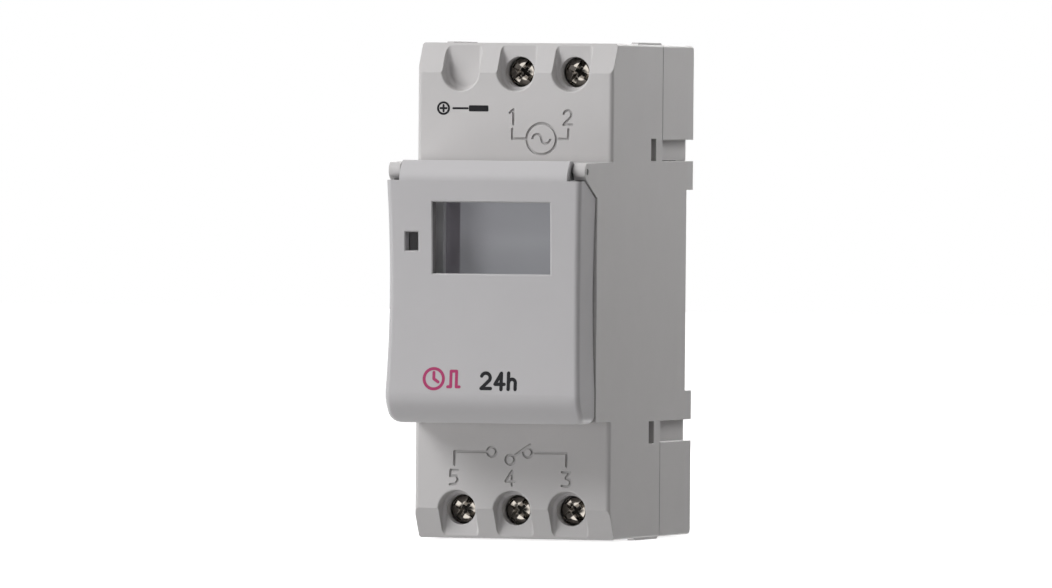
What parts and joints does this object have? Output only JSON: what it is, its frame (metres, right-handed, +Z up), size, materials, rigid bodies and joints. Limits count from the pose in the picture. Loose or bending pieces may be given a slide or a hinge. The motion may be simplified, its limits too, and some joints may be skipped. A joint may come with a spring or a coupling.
{
  "type": "din rail timer",
  "caption": "Two-module digital time switch for a 35 mm rail: hinged front door with a display window, cross-head terminal screws above and below, sliding rail latch.",
  "frame": {"origin": "centre of the flat face that seats on the rail", "axes": "+Y towards the rail and the wall, +Z up, +X to the right seen from the front"},
  "size_m": [0.0356, 0.0656, 0.0866],
  "materials": {
    "housing_grey": "satin, fine spark-eroded texture",
    "door_grey": "satin, fine texture",
    "latch_plastic": "satin",
    "spring_steel": "bright wire",
    "panel_grey": "satin",
    "display_glass": "polished, grey-green display",
    "carrier_white": "satin",
    "elastomer": "matt",
    "board_green": "solder resist",
    "component_black": "moulded",
    "key_dark": "satin",
    "key_accent": "satin",
    "lamp_red": "gloss",
    "clear_plastic": "polished",
    "can_steel": "satin",
    "brass": "tinned edges",
    "relay_case": "gloss",
    "film_yellow": "gloss",
    "sleeve_blue": "gloss sleeve",
    "varistor_blue": "dipped coating",
    "screw_nickel": "dull nickel plate",
    "cage_plated": "plated"
  },
  "bodies": {
    "housing": {"front_housing": "housing_grey", "rear_base": "housing_grey", "latch_spring": "spring_steel", "control_panel": "panel_grey", "lcd_glass": "display_glass", "lcd_frame": "carrier_white", "lcd_connector": "elastomer", "control_board": "board_green", "key_switches": "component_black", "status_led": "lamp_red", "light_pipe": "clear_plastic", "processor": "component_black", "crystal": "can_steel", "board_header": "brass", "cell_holder": "component_black", "backup_cell": "can_steel", "power_board": "board_green", "relay": "relay_case", "drop_capacitor": "film_yellow", "smoothing_capacitor": "sleeve_blue", "varistor": "varistor_blue", "rectifier": "component_black", "contact_tongues": "brass"},
    "door": {"door": "door_grey"},
    "latch": {"rail_latch": "latch_plastic"},
    "key_clock": {"key_clock": "key_dark"},
    "key_program": {"key_program": "key_dark"},
    "key_day": {"key_day": "key_dark"},
    "key_hour": {"key_hour": "key_dark"},
    "key_minute": {"key_minute": "key_dark"},
    "key_manual": {"key_manual": "key_accent"},
    "key_reset": {"key_reset": "key_dark"},
    "screw_1": {"terminal_screw_1": "screw_nickel"},
    "cage_1": {"terminal_cage_1": "cage_plated"},
    "screw_2": {"terminal_screw_2": "screw_nickel"},
    "cage_2": {"terminal_cage_2": "cage_plated"},
    "screw_3": {"terminal_screw_3": "screw_nickel"},
    "cage_3": {"terminal_cage_3": "cage_plated"},
    "screw_4": {"terminal_screw_4": "screw_nickel"},
    "cage_4": {"terminal_cage_4": "cage_plated"},
    "screw_5": {"terminal_screw_5": "screw_nickel"},
    "cage_5": {"terminal_cage_5": "cage_plated"}
  },
  "joints": [
    {"name": "door_hinge", "type": "hinge", "parent": "housing", "child": "door", "pos_m": [0, -0.0583, 0.0208], "axis": [-1, 0, 0], "range_deg": [0, 150]},
    {"name": "latch_slide", "type": "slide", "parent": "housing", "child": "latch", "axis": [0, 0, -1], "range_m": [0, 0.0035], "stiffness_N_per_m": 600, "deforming": ["latch_spring"]},
    {"name": "key_clock_press", "type": "slide", "parent": "housing", "child": "key_clock", "axis": [0, 1, 0], "range_m": [0, 0.00028], "stiffness_N_per_m": 800},
    {"name": "key_program_press", "type": "slide", "parent": "housing", "child": "key_program", "axis": [0, 1, 0], "range_m": [0, 0.00028], "stiffness_N_per_m": 800},
    {"name": "key_day_press", "type": "slide", "parent": "housing", "child": "key_day", "axis": [0, 1, 0], "range_m": [0, 0.00028], "stiffness_N_per_m": 800},
    {"name": "key_hour_press", "type": "slide", "parent": "housing", "child": "key_hour", "axis": [0, 1, 0], "range_m": [0, 0.00028], "stiffness_N_per_m": 800},
    {"name": "key_minute_press", "type": "slide", "parent": "housing", "child": "key_minute", "axis": [0, 1, 0], "range_m": [0, 0.00028], "stiffness_N_per_m": 800},
    {"name": "key_manual_press", "type": "slide", "parent": "housing", "child": "key_manual", "axis": [0, 1, 0], "range_m": [0, 0.00028], "stiffness_N_per_m": 800},
    {"name": "key_reset_press", "type": "slide", "parent": "housing", "child": "key_reset", "axis": [0, 1, 0], "range_m": [0, 0.00028], "stiffness_N_per_m": 800},
    {"name": "screw_1_turn", "type": "hinge", "parent": "housing", "child": "screw_1", "pos_m": [0, -0.03975, 0.038], "axis": [0, 1, 0], "range_deg": [0, 1801]},
    {"name": "cage_1_lift", "type": "slide", "parent": "housing", "child": "cage_1", "axis": [0, -1, 0], "range_m": [0, 0.003]},
    {"name": "screw_2_turn", "type": "hinge", "parent": "housing", "child": "screw_2", "pos_m": [0.01, -0.03975, 0.038], "axis": [0, 1, 0], "range_deg": [0, 1801]},
    {"name": "cage_2_lift", "type": "slide", "parent": "housing", "child": "cage_2", "axis": [0, -1, 0], "range_m": [0, 0.003]},
    {"name": "screw_3_turn", "type": "hinge", "parent": "housing", "child": "screw_3", "pos_m": [0.01, -0.03975, -0.038], "axis": [0, 1, 0], "range_deg": [0, 1801]},
    {"name": "cage_3_lift", "type": "slide", "parent": "housing", "child": "cage_3", "axis": [0, -1, 0], "range_m": [0, 0.003]},
    {"name": "screw_4_turn", "type": "hinge", "parent": "housing", "child": "screw_4", "pos_m": [0, -0.03975, -0.038], "axis": [0, 1, 0], "range_deg": [0, 1801]},
    {"name": "cage_4_lift", "type": "slide", "parent": "housing", "child": "cage_4", "axis": [0, -1, 0], "range_m": [0, 0.003]},
    {"name": "screw_5_turn", "type": "hinge", "parent": "housing", "child": "screw_5", "pos_m": [-0.01, -0.03975, -0.038], "axis": [0, 1, 0], "range_deg": [0, 1801]},
    {"name": "cage_5_lift", "type": "slide", "parent": "housing", "child": "cage_5", "axis": [0, -1, 0], "range_m": [0, 0.003]}
  ],
  "couplings": [
    {"joint": "screw_1_turn", "follows": "cage_1_lift", "rad_per_m": 10472},
    {"joint": "screw_2_turn", "follows": "cage_2_lift", "rad_per_m": 10472},
    {"joint": "screw_3_turn", "follows": "cage_3_lift", "rad_per_m": 10472},
    {"joint": "screw_4_turn", "follows": "cage_4_lift", "rad_per_m": 10472},
    {"joint": "screw_5_turn", "follows": "cage_5_lift", "rad_per_m": 10472}
  ]
}
